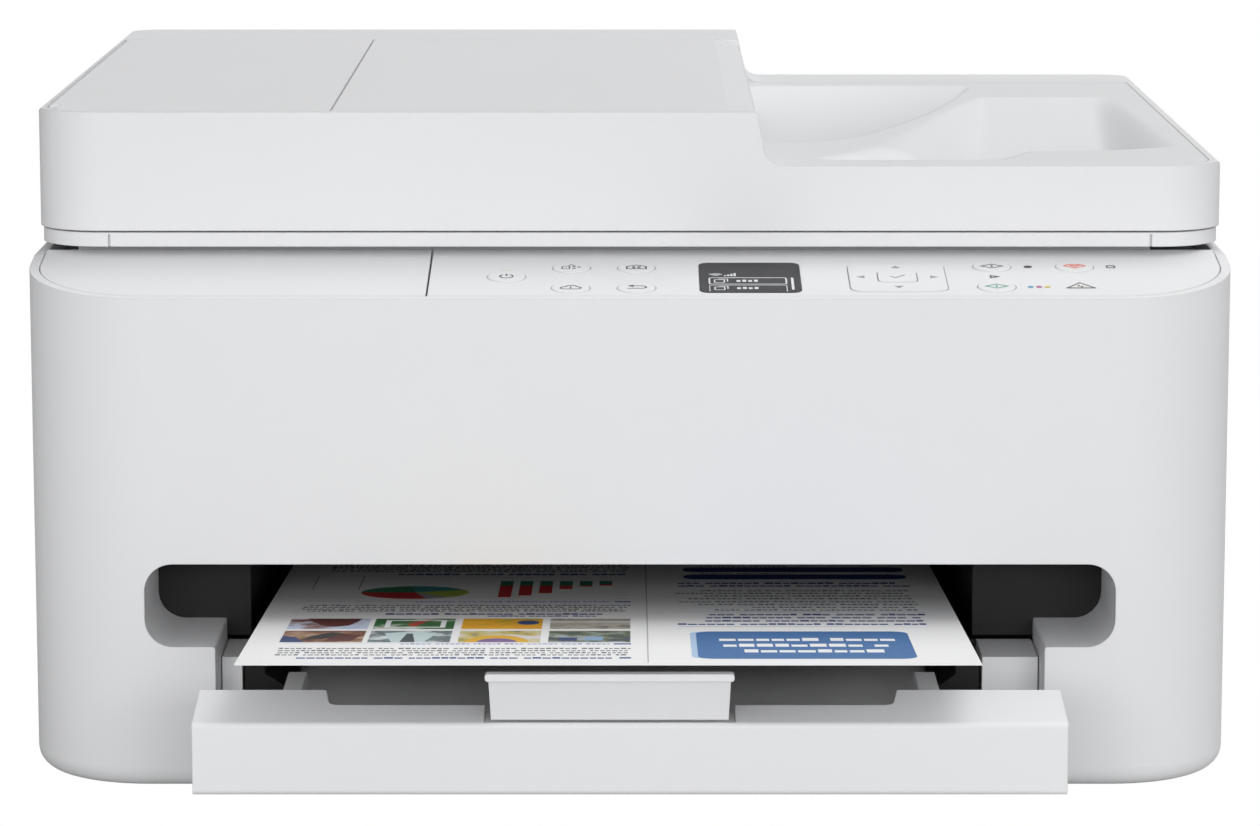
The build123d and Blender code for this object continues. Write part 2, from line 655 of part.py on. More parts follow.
def feeder_opening(gap):
    """The feeder cover's outline, trimmed by the lid's rounded corners, with a gap around it."""
    left, right = -half + left_rim + gap, cover_split - gap
    near, far = front_border - 2.5 + gap, back_border - gap
    inset = left_rim + gap
    with Locations(((left + right) / 2, behind((near + far) / 2))):
        Rectangle(right - left, far - near)
    side, top, back, corner = half - inset, lid_front + inset, lid_back - inset, top_corner - inset
    loop([(-side, behind(top)), (side, behind(top)), (side, behind(back)), (-side, behind(back))],
         [corner] * 2 + [10] * 2, Mode.INTERSECT)


def dish_bed(gap, top, mode):
    """The output dish's block, its front right corner rounded like the lid's."""
    left, right, near, far = dish_left - gap, dish_right + gap, dish_front - gap, dish_back + gap
    with BuildSketch(Plane.XY.offset(dish_floor)) as base:
        loop([(left, behind(near)), (right, behind(near)), (right, behind(far)), (left, behind(far))],
             [0.5, dish_corner + gap, 0.5, 0.5])
    extrude(base.sketch, amount=top - dish_floor, mode=mode)


with BuildPart() as adf_housing:
    with BuildSketch(Plane.XZ.offset(-behind(lid_front))):
        loop([(-half, lid_low), (-half, height), (step_top, height), (step_foot, step_foot_z),
              (half, rim_high), (half, lid_low)], [0.6, 2, 1, 6.5, 2, 0.6])
    extrude(amount=-(lid_back - lid_front))
    with BuildSketch(Plane.XY.offset(lid_low - 1)):
        top_plan(half, lid_front, lid_back, top_corner)
    extrude(amount=60, mode=Mode.INTERSECT)
    cut_block((-half - 1, half + 1), (lid_back - 1.5, lid_back + 1), (lid_low - 1, lid_low + 1.5))
    # openings for the feeder cover and the document tray
    with BuildSketch(Plane.XY.offset(height - lid_skin)):
        feeder_opening(0)
    extrude(amount=lid_skin, mode=Mode.SUBTRACT)
    cut_block((cover_split - 1, step_foot), (front_border, back_border), (height - lid_skin, height + 1))
    cut_block((flap_end, step_foot + 5), (front_border, back_border), (hinge_pocket, height + 1))
    # feeder room, document chute and sheet exit
    cut_block((-half + 7, cover_split - 3), (front_border + 6, back_border - 3), (chute_low, height))
    cut_block((cover_split - 4, flap_end - 1), (front_border + 2, back_border - 3), (input_floor, height))
    cut_block((cover_split - 4, step_foot + 5), (76, 292), (chute_low, chute_high))
    # bed for the output dish, with the pad's recess below
    dish_bed(0.2, height, Mode.SUBTRACT)
    cut_block((step_foot, step_foot + 9), (pocket_near, pocket_far), (rim_high, rim_high + 12))
    cut_block((-150, 165), (68, 304), (lid_low - 1, 176))
    rod_y(pick_x, (front_border - 3, back_border + 1), pick_z, 2.5 + running, Mode.SUBTRACT)
    for side in (-1, 1):
        knob = side * cover_x
        cut_block((knob - 5.4, knob + 5.4), (cover_y - 4.4, lid_back + 1), (lid_low - 1, cover_z + 4.4))
        rod_x((knob - 12, knob + 12), cover_y, cover_z, 1.2, Mode.SUBTRACT)
save(adf_housing, "adf_housing")

with BuildPart() as lid_hinge_pins:
    for side in (-1, 1):
        rod_x((side * cover_x - 12, side * cover_x + 12), cover_y, cover_z, 1.2)
save(lid_hinge_pins, "lid_hinge_pins")

with BuildPart() as lid_pad:
    block((-150, 165), (68, 304), (strip_high + 0.3, 176))
save(lid_pad, "lid_pad")

pocket_floor, scoop_floor = 179.5, 186.0
pocket_rim = [(dish_left - 5, 116), (64, 120), (80, 146), (104, 212), (126, 313), (dish_left - 5, 313)]
pocket_base = [(dish_left - 5, 132), (52, 134), (62, 152), (84, 216), (104, 304), (dish_left - 5, 304)]
scoop_rim = [(112, 66), (178, 66), (179, 110), (174, 269), (125, 269), (90, 158), (90, 96)]
scoop_base = [(122, 80), (160, 80), (162, 112), (160, 240), (138, 240), (108, 156), (108, 104)]


def dish_hollow(rim, base, floor):
    """A hollow sunk from the dish's rim to a smaller floor, with sloping sides."""
    with BuildSketch(Plane.XY.offset(rim_high)) as top:
        loop([(x, behind(y)) for x, y in rim], 3)
    with BuildSketch(Plane.XY.offset(floor)) as bottom:
        loop([(x, behind(y)) for x, y in base], 3)
    loft([top.sketch, bottom.sketch], ruled=True, mode=Mode.SUBTRACT)


with BuildPart() as output_dish:
    dish_bed(0, rim_high, Mode.ADD)
    dish_hollow(pocket_rim, pocket_base, pocket_floor)
    dish_hollow(scoop_rim, scoop_base, scoop_floor)
save(output_dish, "output_dish")

with BuildPart() as feeder_cover:
    with BuildSketch(Plane.XY.offset(height - lid_skin)):
        feeder_opening(seam)
    extrude(amount=lid_skin)
    axis_x = -half + left_rim + seam + knuckle
    cut_block((-half, axis_x), (lid_front, lid_back), (height - lid_skin - 1, height + 1))
    cut_block((-half, axis_x + knuckle + 1), (lid_front, lid_front + top_corner + 5),
              (height - lid_skin - 1, height + 1))
    rod_y(axis_x, (lid_front + top_corner + 5, back_border - seam - 1), height - knuckle, knuckle)
save(feeder_cover, "feeder_cover")

with BuildPart() as document_tray:
    near, far = front_border + seam, back_border - seam
    with BuildSketch(Plane.XZ.offset(-behind(near))):
        loop([(cover_split + seam, height - lid_skin), (cover_split + seam, height), (flap_end, height),
              (tray_axis_x, tray_axis_z + tray_knuckle), (tray_axis_x, tray_axis_z - tray_knuckle),
              (flap_end + 1, height - lid_skin)], 0)
    extrude(amount=-(far - near))
    rod_y(tray_axis_x, (near, far), tray_axis_z, tray_knuckle)
    cut_block((cover_split + 65.5 - 1.5, cover_split + 65.5 + 1.5), (front_border - 1, front_border + 1.6),
              (height - 1.2, height + 1))
save(document_tray, "document_tray")

for name, near, far, foot_near, foot_far in (
        ("document_guide_front", 73, 75.6, 75.6, 98), ("document_guide_rear", 292.4, 295, 270, 292.4)):
    with BuildPart() as guide:
        block((-70, 10), (near, far), (input_floor + 0.3, height - lid_skin - 0.6))
        block((-50, -10), (foot_near, foot_far), (input_floor + 0.3, input_floor + 1.6))
    save(guide, name)

with BuildPart() as adf_pick_roller:
    rod_y(pick_x, (front_border - 2, back_border), pick_z, 2.5)
    rod_y(pick_x, (160, 208), pick_z, 9)
save(adf_pick_roller, "adf_pick_roller")
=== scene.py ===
"""Looks for the all-in-one inkjet printer: studio, materials, printed marks and the smooth output dish."""
import json
import math
import random

import bpy
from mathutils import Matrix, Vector


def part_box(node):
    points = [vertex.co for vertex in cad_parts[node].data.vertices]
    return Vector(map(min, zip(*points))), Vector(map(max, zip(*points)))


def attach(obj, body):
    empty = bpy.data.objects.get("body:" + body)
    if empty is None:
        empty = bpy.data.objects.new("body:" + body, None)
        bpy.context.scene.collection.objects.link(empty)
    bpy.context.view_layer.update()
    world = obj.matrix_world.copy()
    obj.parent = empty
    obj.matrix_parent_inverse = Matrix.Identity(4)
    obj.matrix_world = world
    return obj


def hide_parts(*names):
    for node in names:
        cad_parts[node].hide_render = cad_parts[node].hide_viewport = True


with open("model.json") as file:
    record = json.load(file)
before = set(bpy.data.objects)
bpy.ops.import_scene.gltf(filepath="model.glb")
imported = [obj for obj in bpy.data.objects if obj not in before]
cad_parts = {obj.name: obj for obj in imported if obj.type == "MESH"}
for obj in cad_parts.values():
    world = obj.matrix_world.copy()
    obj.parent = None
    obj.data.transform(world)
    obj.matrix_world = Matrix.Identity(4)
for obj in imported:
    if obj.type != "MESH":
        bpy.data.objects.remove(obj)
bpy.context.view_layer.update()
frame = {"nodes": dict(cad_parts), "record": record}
nodes = frame["nodes"]

MM = 0.001
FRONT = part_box("front_casing")[0][1]

# ------------------------------------------------------------------ camera, floor and light

CAMERA_DISTANCE = 1.45403       # from the casing's front face
CAMERA_HEIGHT = 0.3625
CAMERA_PITCH = math.radians(9.381)
CAMERA_LENS = 137.14
CAMERA_SENSOR = 36.0

FLOOR_SIZE = 14.0
SWEEP_BACK = 3.0                # where the floor starts to curve up into the backdrop
SWEEP_RADIUS = 1.6
SWEEP_STEPS = 24
WORLD_STRENGTH = 0.55


def make_camera():
    """A long lens above the paper tray, level from side to side, tipped down at the front face."""
    data = bpy.data.cameras.new("camera")
    data.lens = CAMERA_LENS
    data.sensor_width = CAMERA_SENSOR
    data.sensor_fit = "HORIZONTAL"
    data.clip_start = 0.02
    camera = bpy.data.objects.new("camera", data)
    camera.location = (0, FRONT - CAMERA_DISTANCE, CAMERA_HEIGHT)
    camera.rotation_euler = (math.pi / 2 - CAMERA_PITCH, 0, 0)
    bpy.context.scene.collection.objects.link(camera)
    bpy.context.scene.camera = camera


def link_mesh(name, points, faces, smooth=False):
    """A new mesh object in the scene."""
    mesh = bpy.data.meshes.new(name)
    mesh.from_pydata([tuple(p) for p in points], [], faces)
    mesh.validate()
    mesh.update()
    for polygon in mesh.polygons:
        polygon.use_smooth = smooth
    piece = bpy.data.objects.new(name, mesh)
    bpy.context.scene.collection.objects.link(piece)
    return piece


def make_floor():
    """A floor that curves up into a backdrop far behind the object."""
    profile = [(-FLOOR_SIZE, 0.0), (SWEEP_BACK, 0.0)]
    for i in range(1, SWEEP_STEPS + 1):
        angle = math.pi / 2 * i / SWEEP_STEPS
        profile.append((SWEEP_BACK + SWEEP_RADIUS * math.sin(angle), SWEEP_RADIUS * (1 - math.cos(angle))))
    profile.append((SWEEP_BACK + SWEEP_RADIUS, FLOOR_SIZE / 2))
    points = [(side * FLOOR_SIZE, y, z) for y, z in profile for side in (-1, 1)]
    faces = [(2 * i, 2 * i + 1, 2 * i + 3, 2 * i + 2) for i in range(len(profile) - 1)]
    floor = link_mesh("floor", points, faces, smooth=True)
    floor.data.materials.append(floor_material())


def area_light(name, location, target, size, energy):
    """A rectangular light of the given width and height that faces its target."""
    data = bpy.data.lights.new(name, "AREA")
    data.shape = "RECTANGLE"
    data.size, data.size_y = size
    data.energy = energy
    light = bpy.data.objects.new(name, data)
    light.location = location
    aim = Vector(target) - Vector(location)
    light.rotation_euler = aim.to_track_quat("-Z", "Y").to_euler()
    bpy.context.scene.collection.objects.link(light)


def make_light():
    """An even white surround, seen as pure white, a low fill in front and a key above on the right."""
    world = bpy.data.worlds.new("studio")
    world.use_nodes = True
    tree = world.node_tree
    lighting = tree.nodes["Background"]
    lighting.inputs["Color"].default_value = (1.0, 1.0, 1.0, 1.0)
    lighting.inputs["Strength"].default_value = WORLD_STRENGTH
    backdrop = tree.nodes.new("ShaderNodeBackground")
    backdrop.inputs["Color"].default_value = (1.0, 1.0, 1.0, 1.0)
    backdrop.inputs["Strength"].default_value = 1.0
    seen = tree.nodes.new("ShaderNodeLightPath")
    mix = tree.nodes.new("ShaderNodeMixShader")
    tree.links.new(seen.outputs["Is Camera Ray"], mix.inputs[0])
    tree.links.new(lighting.outputs[0], mix.inputs[1])
    tree.links.new(backdrop.outputs[0], mix.inputs[2])
    tree.links.new(mix.outputs[0], tree.nodes["World Output"].inputs["Surface"])
    bpy.context.scene.world = world
    bpy.context.scene.view_settings.view_transform = "Standard"
    front_face = (0, FRONT, 0.06)
    body_centre = (0, FRONT + 0.15, 0.1)
    area_light("front_fill", (0.1, -3.0, 0.68), front_face, (2.4, 0.5), 40)
    area_light("top_key", (1.0, 0.8, 2.4), body_centre, (2.0, 1.6), 34)


# ------------------------------------------------------------------ materials


class Tree:
    """Short calls for building one material's nodes."""

    def __init__(self, name, color, roughness):
        self.material = bpy.data.materials.new(name)
        self.material.use_nodes = True
        self.tree = self.material.node_tree
        self.shader = self.tree.nodes["Principled BSDF"]
        self.shader.inputs["Base Color"].default_value = (*color, 1)
        self.shader.inputs["Roughness"].default_value = roughness
        self.place = self.tree.nodes.new("ShaderNodeTexCoord").outputs["Object"]

    def add(self, kind, inputs=None, **settings):
        """A new node, its inputs set to values or linked to other nodes' outputs."""
        node = self.tree.nodes.new(kind)
        for key, value in settings.items():
            setattr(node, key, value)
        for key, value in (inputs or {}).items():
            if isinstance(value, bpy.types.NodeSocket):
                self.tree.links.new(value, node.inputs[key])
            else:
                node.inputs[key].default_value = value
        return node

    def link(self, output, socket):
        """Feeds one input of the shader."""
        self.tree.links.new(output, self.shader.inputs[socket])

    def noise(self, scale, detail=4.0, roughness=0.5):
        inputs = {"Vector": self.place, "Scale": scale, "Detail": detail, "Roughness": roughness}
        return self.add("ShaderNodeTexNoise", inputs).outputs["Fac"]

    def tint(self, factor, low, high):
        """Base colour that drifts between two colours."""
        mix = self.add("ShaderNodeMix", data_type="RGBA")
        self.tree.links.new(factor, mix.inputs["Factor"])
        mix.inputs["A"].default_value = (*low, 1)
        mix.inputs["B"].default_value = (*high, 1)
        self.link(mix.outputs["Result"], "Base Color")

    def gloss(self, factor, low, high):
        """Roughness that drifts between two values."""
        spread = self.add("ShaderNodeMapRange", {"Value": factor, "To Min": low, "To Max": high})
        self.link(spread.outputs["Result"], "Roughness")

    def relief(self, height, distance, strength=0.3, edge=0.0):
        """Bump from a height, over edges rounded by the given radius."""
        bump = self.add("ShaderNodeBump", {"Height": height, "Distance": distance, "Strength": strength})
        if edge:
            rounded = self.add("ShaderNodeBevel", {"Radius": edge}, samples=6)
            self.tree.links.new(rounded.outputs["Normal"], bump.inputs["Normal"])
        self.link(bump.outputs["Normal"], "Normal")


def shade(color, amount):
    """The colour made darker or lighter by a factor."""
    return tuple(min(1.0, c * amount) for c in color)


def moulded(name, color, roughness=0.5, grain=2600, depth=0.00004, edge=0.0006, drift=0.012, specular=0.3):
    """Moulded plastic with spark-eroded grain, a slight drift in tone and softened edges."""
    t = Tree(name, color, roughness)
    t.shader.inputs["Specular IOR Level"].default_value = specular
    t.tint(t.noise(9, 3), shade(color, 1 - drift), shade(color, 1 + drift))
    t.gloss(t.noise(60, 3), roughness - 0.05, roughness + 0.06)
    t.relief(t.noise(grain, 2), depth, 0.35, edge)
    return t.material


def floor_material():
    """Studio paper that camera rays see as a pure white glow and all other rays as mid grey paper."""
    t = Tree("studio_paper", (0.5, 0.5, 0.5), 0.9)
    t.tint(t.noise(3, 2), (0.49, 0.49, 0.49), (0.51, 0.51, 0.51))
    t.relief(t.noise(500, 2), 0.0002, 0.1)
    glow = t.add("ShaderNodeEmission", {"Color": (1, 1, 1, 1), "Strength": 1.0})
    seen = t.add("ShaderNodeLightPath")
    mix = t.add("ShaderNodeMixShader")
    t.tree.links.new(seen.outputs["Is Camera Ray"], mix.inputs[0])
    t.tree.links.new(t.shader.outputs["BSDF"], mix.inputs[1])
    t.tree.links.new(glow.outputs["Emission"], mix.inputs[2])
    t.tree.links.new(mix.outputs["Shader"], t.tree.nodes["Material Output"].inputs["Surface"])
    return t.material


def steel_material():
    """Zinc plated sheet with a fine spangle and rolling lines."""
    t = Tree("zinc_plated_steel", (0.6, 0.61, 0.62), 0.35)
    t.shader.inputs["Metallic"].default_value = 1.0
    t.tint(t.noise(180, 3), (0.52, 0.53, 0.54), (0.66, 0.67, 0.68))
    stretch = t.add("ShaderNodeMapping", {"Vector": t.place, "Scale": (30, 2400, 2400)})
    lines = t.add("ShaderNodeTexNoise", {"Vector": stretch.outputs["Vector"], "Scale": 1.0, "Detail": 2.0})
    t.gloss(lines.outputs["Fac"], 0.25, 0.45)
    t.relief(lines.outputs["Fac"], 0.00002, 0.4, 0.0003)
    return t.material


def rubber_material():
    """Dull black rubber, a little dusty."""
    t = Tree("black_rubber", (0.03, 0.03, 0.03), 0.8)
    t.tint(t.noise(70, 4), (0.022, 0.022, 0.022), (0.045, 0.045, 0.045))
    t.gloss(t.noise(240, 3), 0.7, 0.9)
    t.relief(t.noise(1500, 3), 0.00008, 0.5, 0.0004)
    return t.material


def glass_material():
    """Greenish float glass with faint smears."""
    t = Tree("platen_glass", (0.86, 0.93, 0.9), 0.03)
    t.shader.inputs["Transmission Weight"].default_value = 0.85
    t.shader.inputs["IOR"].default_value = 1.5
    t.tint(t.noise(12, 2), (0.82, 0.91, 0.88), (0.9, 0.95, 0.93))
    t.gloss(t.noise(25, 3), 0.02, 0.06)
    return t.material


def foam_material():
    """White foam with small open cells."""
    t = Tree("white_pad_foam", (0.86, 0.86, 0.85), 0.85)
    t.tint(t.noise(40, 3), (0.82, 0.82, 0.81), (0.88, 0.88, 0.87))
    cells = t.add("ShaderNodeTexVoronoi", {"Vector": t.place, "Scale": 1400.0})
    t.relief(cells.outputs["Distance"], 0.00015, 0.4, 0.0008)
    return t.material


def board_material():
    """Solder mask over faint tracks."""
    t = Tree("circuit_board", (0.02, 0.17, 0.07), 0.35)
    tracks = t.add("ShaderNodeTexBrick", {"Vector": t.place, "Scale": 240.0, "Mortar Size": 0.12,
                                          "Color1": (0.02, 0.16, 0.07, 1), "Color2": (0.02, 0.2, 0.08, 1),
                                          "Mortar": (0.06, 0.3, 0.14, 1)})
    t.link(tracks.outputs["Color"], "Base Color")
    t.relief(tracks.outputs["Fac"], 0.00004, 0.4, 0.0003)
    return t.material


def window_material():
    """Dark acrylic window, smooth with faint handling haze."""
    t = Tree("display_window", (0.03, 0.03, 0.033), 0.35)
    t.shader.inputs["Specular IOR Level"].default_value = 0.12
    t.tint(t.noise(30, 2), (0.027, 0.027, 0.03), (0.034, 0.034, 0.037))
    t.gloss(t.noise(90, 3), 0.3, 0.42)
    t.relief(t.noise(700, 2), 0.00001, 0.1, 0.0004)
    return t.material


def lamp_material():
    """Milky lens of an unlit lamp."""
    t = Tree("lamp_lens", (0.8, 0.8, 0.78), 0.3)
    t.tint(t.noise(400, 2), (0.76, 0.76, 0.72), (0.84, 0.84, 0.82))
    t.relief(t.noise(1500, 2), 0.00002, 0.3, 0.0003)
    return t.material


def paper_material():
    """Plain office paper with a faint weave of fibres."""
    t = Tree("page_paper", (0.87, 0.87, 0.87), 0.85)
    t.tint(t.noise(25, 5), (0.855, 0.855, 0.86), (0.885, 0.885, 0.885))
    fibres = t.add("ShaderNodeMapping", {"Vector": t.place, "Scale": (900, 300, 900)})
    weave = t.add("ShaderNodeTexNoise", {"Vector": fibres.outputs["Vector"], "Scale": 1.0, "Detail": 5.0})
    t.relief(weave.outputs["Fac"], 0.00003, 0.3)
    return t.material


def belt_material():
    """Black belt with ribs across it."""
    t = Tree("ribbed_belt", (0.04, 0.04, 0.04), 0.7)
    t.tint(t.noise(60, 3), (0.03, 0.03, 0.03), (0.05, 0.05, 0.05))
    ribs = t.add("ShaderNodeTexWave", {"Vector": t.place, "Scale": 160.0}, bands_direction="X")
    t.relief(ribs.outputs["Fac"], 0.0003, 0.6)
    return t.material


def ink(name, color, variation=0.12, roughness=0.6):
    """Printed ink or paint with slight unevenness."""
    t = Tree(name, color, roughness)
    t.tint(t.noise(800, 3), shade(color, 1 - variation), shade(color, 1 + variation))
    t.gloss(t.noise(300, 2), roughness - 0.08, roughness + 0.08)
    return t.material


def picture(name, colors, scale):
    """A blotchy printed picture of no particular subject."""
    t = Tree(name, colors[0], 0.6)
    first, last = 0.36, 0.64        # most of the noise lies between these
    ramp = t.add("ShaderNodeValToRGB", {"Fac": t.noise(scale, 5, 0.6)})
    stops = ramp.color_ramp.elements
    stops[0].position, stops[1].position = first, last
    stops[0].color, stops[1].color = (*colors[0], 1), (*colors[-1], 1)
    for i, color in enumerate(colors[1:-1], 1):
        stops.new(first + (last - first) * i / (len(colors) - 1)).color = (*color, 1)
    t.link(ramp.outputs["Color"], "Base Color")
    t.gloss(t.noise(300, 2), 0.5, 0.65)
    return t.material


SHELL = (0.79, 0.795, 0.805)
finishes = {
    "shell_white": moulded("shell_white", SHELL, 0.52),
    "dish_white": moulded("dish_white", shade(SHELL, 0.985), 0.5),
    "engine_black": moulded("engine_black", (0.012, 0.012, 0.013), 0.5, drift=0.15, specular=0.2),
    "engine_grey": moulded("engine_grey", (0.22, 0.225, 0.23), 0.5, drift=0.05),
    "display_grey": window_material(),
    "lamp": lamp_material(),
    "steel": steel_material(),
    "rubber": rubber_material(),
    "glass": glass_material(),
    "foam": foam_material(),
    "board": board_material(),
    "ink_black": moulded("cartridge_black", (0.03, 0.03, 0.035), 0.3, drift=0.1),
    "ink_colour": moulded("cartridge_grey", (0.1, 0.12, 0.2), 0.3, drift=0.1),
    "page": paper_material(),
    "belt": belt_material(),
}


def paint_frame():
    """Gives every CAD node the finish of its slot in the record."""
    for part in frame["record"]["subparts"]:
        mesh = nodes[part["node"]].data
        finish = finishes[part["material_slot"]]
        if len(mesh.materials) == 0:
            mesh.materials.append(finish)
        for i in range(len(mesh.materials)):
            mesh.materials[i] = finish


# ------------------------------------------------------------------ flat printed shapes

SHARPEST_MITRE = 0.35           # keeps the tip of a sharp corner from running away


def slab(points, faces, slots, polygons, place, low, high, slot):
    """Adds the closed slab between two heights over polygons that share edges."""
    index = {}
    edges = set()
    for polygon in polygons:
        edges.update(zip(polygon, polygon[1:] + polygon[:1]))
        for corner in polygon:
            if corner not in index:
                index[corner] = len(points)
                points.append(place(*corner, low))
                points.append(place(*corner, high))
        faces.append([index[c] + 1 for c in polygon])
        faces.append([index[c] for c in reversed(polygon)])
        slots.extend([slot, slot])
    for a, b in sorted(edges):
        if (b, a) not in edges:
            faces.append([index[a], index[b], index[b] + 1, index[a] + 1])
            slots.append(slot)


def printed(name, shapes, place, low, high, body):
    """One mesh of flat shapes, each an (ink, polygons) pair, riding on a body."""
    points, faces, slots, inks = [], [], [], []
    for finish, polygons in shapes:
        if finish not in inks:
            inks.append(finish)
        slab(points, faces, slots, polygons, place, low, high, inks.index(finish))
    piece = link_mesh(name, points, faces)
    for finish in inks:
        piece.data.materials.append(finish)
    for polygon, index in zip(piece.data.polygons, slots):
        polygon.material_index = index
    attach(piece, body)


def rectangle(left, low, right, high):
    return [[(left, low), (right, low), (right, high), (left, high)]]


def arc(centre, radius, start, end, steps=16):
    """Points on a circle's or an ellipse's arc, angles in degrees."""
    rx, ry = radius if isinstance(radius, tuple) else (radius, radius)
    turn = [math.radians(start + (end - start) * i / steps) for i in range(steps + 1)]
    return [(centre[0] + rx * math.cos(a), centre[1] + ry * math.sin(a)) for a in turn]


def disc(centre, radius, steps=28):
    """A filled circle or ellipse."""
    return [arc(centre, radius, 0, 360, steps)[:-1]]


def rounded(left, low, right, high, corner):
    """Outline of a rectangle with rounded corners."""
    outline = []
    for x, y, start in ((right - corner, high - corner, 0), (left + corner, high - corner, 90),
                        (left + corner, low + corner, 180), (right - corner, low + corner, 270)):
        outline += arc((x, y), corner, start, start + 90, 6)
    return outline


def stroke(path, thickness, closed=False):
    """A line of even thickness as quads with mitred corners."""
    count = len(path)
    left, right = [], []
    for i, (x, y) in enumerate(path):
        before = path[i - 1] if closed or i else None
        after = path[(i + 1) % count] if closed or i < count - 1 else None
        ways = []
        for a, b in ((before, (x, y)), ((x, y), after)):
            if a is not None and b is not None:
                ways.append(Vector((b[0] - a[0], b[1] - a[1])).normalized())
        normals = [Vector((-w.y, w.x)) for w in ways]
        mitre = sum(normals, Vector((0, 0))).normalized()
        reach = thickness / 2 / max(SHARPEST_MITRE, mitre.dot(normals[0]))
        left.append((x + mitre.x * reach, y + mitre.y * reach))
        right.append((x - mitre.x * reach, y - mitre.y * reach))
    last = count if closed else count - 1
    return [[left[i], right[i], right[(i + 1) % count], left[(i + 1) % count]] for i in range(last)]


def moved(polygons, x, y):
    return [[(x + u, y + v) for u, v in polygon] for polygon in polygons]


# ------------------------------------------------------------------ control deck

DECK_TILT = math.radians(8)
DECK_START = 1.0 * MM           # behind the front face
DECK_FRONT = 157.8 * MM         # height there

# in millimetres
PLATE = 0.1                     # the deck's plate and the display's window stand this far out
CAP = 0.3                       # and the buttons this far
OK_CAP = 0.5                    # and the pad's middle button this far
DECK_INK = 0.04                 # thickness of the printed symbols
SCREEN_INK = 0.03
LINE = 0.55                     # line widths of the printed symbols
THIN_LINE = 0.45
FINE_LINE = 0.4
HAIR_LINE = 0.25
PAD_CENTRE = (83.0, 22.6)
PAD_ARROW_REACH = 11.4


def on_deck(u, v, lift):
    """A point of the sloping deck: u to the right, v up the slope, lift out of it, in millimetres."""
    climb = (v * math.cos(DECK_TILT) - lift * math.sin(DECK_TILT)) * MM
    rise = (v * math.sin(DECK_TILT) + lift * math.cos(DECK_TILT)) * MM
    return (u * MM, FRONT + DECK_START + climb, DECK_FRONT + rise)


def power_symbol():
    """A broken ring with a bar in its gap."""
    return stroke(arc((0, -0.2), 2.0, 125, 415), LINE) + stroke([(0, 0.2), (0, 2.6)], LINE)


def code_symbol():
    """An outlined bar, three squares and an arrow head."""
    squares = rectangle(0.3, -1.9, 1.3, -0.9) + rectangle(1.9, -0.5, 2.9, 0.5) + rectangle(0.3, 0.2, 1.3, 1.2)
    return (stroke(rounded(-2.9, -1.9, -0.6, 0.9, 0.3), FINE_LINE, True) + squares
            + stroke([(-0.9, 1.8), (0, 2.9), (0.9, 1.8)], THIN_LINE))


def cloud_symbol():
    """A cloud with a bar in it."""
    outline = arc((-1.9, -0.9), 1.2, 90, 270) + arc((2.0, -0.9), 1.2, -90, 80) + arc((0.2, 0.2), 1.7, 30, 165)
    return stroke(outline, LINE, True) + stroke([(0, -1.6), (0, 0.6)], THIN_LINE)


def house_symbol():
    """A house with four windows."""
    house = stroke([(-3.0, -1.9), (3.0, -1.9), (3.0, 0.7), (0, 2.5), (-3.0, 0.7)], LINE, True)
    return (house + rectangle(-1.3, -1.2, -0.3, -0.3) + rectangle(0.3, -1.2, 1.3, -0.3)
            + rectangle(-1.3, 0.1, -0.3, 0.9) + rectangle(0.3, 0.1, 1.3, 0.9))


def back_symbol():
    """An arrow that turns back."""
    path = [(-2.8, -1.4), (1.6, -1.4)] + arc((1.6, 0.0), 1.4, -80, 80, 8) + [(1.6, 1.4), (-2.0, 1.4)]
    return stroke(path, LINE) + stroke([(-0.9, 0.4), (-2.3, 1.4), (-0.9, 2.4)], LINE)


def start_symbol():
    """A diamond with a bar in it."""
    diamond = [(0, -2.2), (3.4, 0), (0, 2.2), (-3.4, 0)]
    return stroke(diamond, LINE, True) + stroke([(0, -1.0), (0, 1.0)], 0.6)


def stop_symbol():
    """A pointed shield with a triangle in it."""
    shield = [(-2.0, 1.9), (2.0, 1.9), (3.3, 0.2), (0, -2.2), (-3.3, 0.2)]
    return stroke(shield, LINE, True) + stroke([(-1.5, 0.9), (1.5, 0.9), (0, -1.0)], THIN_LINE, True)


def warning_symbol():
    """A triangle with a spark in it."""
    return (stroke([(-4.2, -2.2), (4.2, -2.2), (0, 3.4)], LINE, True),
            stroke([(-0.3, 1.0), (-0.9, -0.5), (0.7, -0.5), (0.1, -1.6)], FINE_LINE))


mark_grey = ink("mark_grey", (0.08, 0.08, 0.085))
mark_red = ink("mark_red", (0.72, 0.1, 0.03))
mark_green = ink("mark_green", (0.03, 0.3, 0.2))
mark_outline = ink("mark_outline", (0.3, 0.3, 0.31))
screen_white = ink("screen_white", (0.75, 0.76, 0.78))

# ink, middle and symbol of each button
BUTTONS = {
    "power_button": (mark_grey, (-38.4, 23.6), power_symbol()),
    "code_button": (mark_grey, (-18.3, 33.9), code_symbol()),
    "wireless_button": (mark_grey, (-18.3, 11.1), cloud_symbol()),
    "home_button": (mark_grey, (2.0, 33.9), house_symbol()),
    "back_button": (mark_grey, (2.0, 11.1), back_symbol()),
    "start_black_button": (mark_grey, (113.2, 35.1), start_symbol()),
    "start_colour_button": (mark_green, (113.1, 12.2), start_symbol()),
    "stop_button": (mark_red, (139.1, 35.1), stop_symbol()),
}


def deck_print(name, shapes, lift, body):
    """Symbols on the deck or on a button that stands out of the slope by this lift."""
    printed(name, shapes, on_deck, lift, lift + DECK_INK, body)


